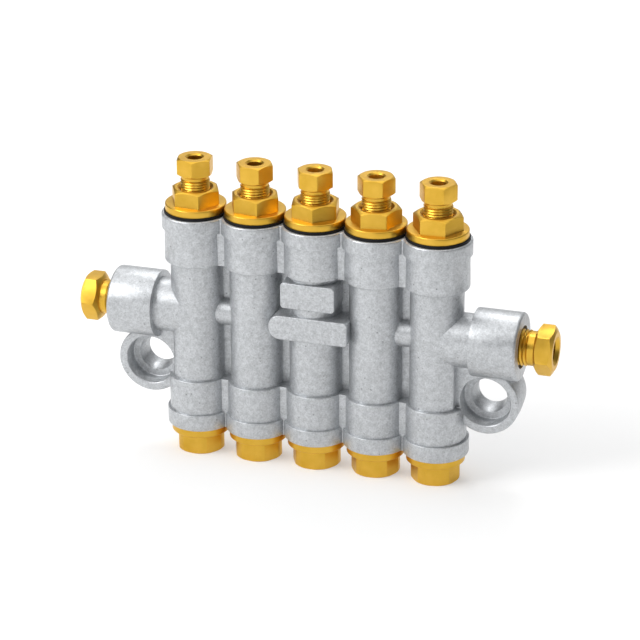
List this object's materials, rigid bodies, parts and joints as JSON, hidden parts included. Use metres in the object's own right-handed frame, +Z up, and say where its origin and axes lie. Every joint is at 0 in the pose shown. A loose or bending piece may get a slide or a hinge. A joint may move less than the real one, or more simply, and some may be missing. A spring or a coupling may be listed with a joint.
{
  "type": "lubrication distributor",
  "caption": "Single-line lubrication distributor: cast body with a row of metering columns, brass tube outlets on top, a supply port at each end and counterbored mounting lugs.",
  "frame": {"origin": "on the floor under the middle outlet's axis, midway between the mounting face and the front", "axes": "+X along the row of outlets, +Y back to the mounting face, +Z up out of the outlets"},
  "size_m": [0.1336, 0.0188, 0.0858],
  "materials": {
    "cast_body": "as-cast, fine matt grain",
    "brass": "turned, satin",
    "rubber": "matt black",
    "spring_steel": "drawn wire"
  },
  "bodies": {
    "distributor": {"distributor_body": "cast_body", "outlet_nut_1": "brass", "outlet_nut_2": "brass", "outlet_nut_3": "brass", "outlet_nut_4": "brass", "outlet_nut_5": "brass", "outlet_ferrule_1": "brass", "outlet_ferrule_2": "brass", "outlet_ferrule_3": "brass", "outlet_ferrule_4": "brass", "outlet_ferrule_5": "brass", "metering_nipple_1": "brass", "metering_nipple_2": "brass", "metering_nipple_3": "brass", "metering_nipple_4": "brass", "metering_nipple_5": "brass", "nipple_seal_1": "rubber", "nipple_seal_2": "rubber", "nipple_seal_3": "rubber", "nipple_seal_4": "rubber", "nipple_seal_5": "rubber", "return_spring_1": "spring_steel", "return_spring_2": "spring_steel", "return_spring_3": "spring_steel", "return_spring_4": "spring_steel", "return_spring_5": "spring_steel", "end_plug_1": "brass", "end_plug_2": "brass", "end_plug_3": "brass", "end_plug_4": "brass", "end_plug_5": "brass", "plug_seal_1": "rubber", "plug_seal_2": "rubber", "plug_seal_3": "rubber", "plug_seal_4": "rubber", "plug_seal_5": "rubber", "port_nut_left": "brass", "port_ferrule_left": "brass", "port_nut_right": "brass", "port_ferrule_right": "brass"},
    "piston_1": {"metering_piston_1": "brass"},
    "collar_1": {"control_collar_1": "rubber"},
    "piston_2": {"metering_piston_2": "brass"},
    "collar_2": {"control_collar_2": "rubber"},
    "piston_3": {"metering_piston_3": "brass"},
    "collar_3": {"control_collar_3": "rubber"},
    "piston_4": {"metering_piston_4": "brass"},
    "collar_4": {"control_collar_4": "rubber"},
    "piston_5": {"metering_piston_5": "brass"},
    "collar_5": {"control_collar_5": "rubber"}
  },
  "joints": [
    {"name": "piston_stroke_1", "type": "slide", "parent": "distributor", "child": "piston_1", "axis": [0, 0, 1], "range_m": [-0.005, 0], "stiffness_N_per_m": 1500, "springref_m": 0.0001, "deforming": ["return_spring_1"]},
    {"name": "piston_stroke_2", "type": "slide", "parent": "distributor", "child": "piston_2", "axis": [0, 0, 1], "range_m": [-0.005, 0], "stiffness_N_per_m": 1500, "springref_m": 0.0001, "deforming": ["return_spring_2"]},
    {"name": "piston_stroke_3", "type": "slide", "parent": "distributor", "child": "piston_3", "axis": [0, 0, 1], "range_m": [-0.005, 0], "stiffness_N_per_m": 1500, "springref_m": 0.0001, "deforming": ["return_spring_3"]},
    {"name": "piston_stroke_4", "type": "slide", "parent": "distributor", "child": "piston_4", "axis": [0, 0, 1], "range_m": [-0.005, 0], "stiffness_N_per_m": 1500, "springref_m": 0.0001, "deforming": ["return_spring_4"]},
    {"name": "piston_stroke_5", "type": "slide", "parent": "distributor", "child": "piston_5", "axis": [0, 0, 1], "range_m": [-0.005, 0], "stiffness_N_per_m": 1500, "springref_m": 0.0001, "deforming": ["return_spring_5"]},
    {"name": "collar_shift_1", "type": "slide", "parent": "distributor", "child": "collar_1", "axis": [0, 0, 1], "range_m": [-0.0015, 0]},
    {"name": "collar_shift_2", "type": "slide", "parent": "distributor", "child": "collar_2", "axis": [0, 0, 1], "range_m": [-0.0015, 0]},
    {"name": "collar_shift_3", "type": "slide", "parent": "distributor", "child": "collar_3", "axis": [0, 0, 1], "range_m": [-0.0015, 0]},
    {"name": "collar_shift_4", "type": "slide", "parent": "distributor", "child": "collar_4", "axis": [0, 0, 1], "range_m": [-0.0015, 0]},
    {"name": "collar_shift_5", "type": "slide", "parent": "distributor", "child": "collar_5", "axis": [0, 0, 1], "range_m": [-0.0015, 0]}
  ]
}
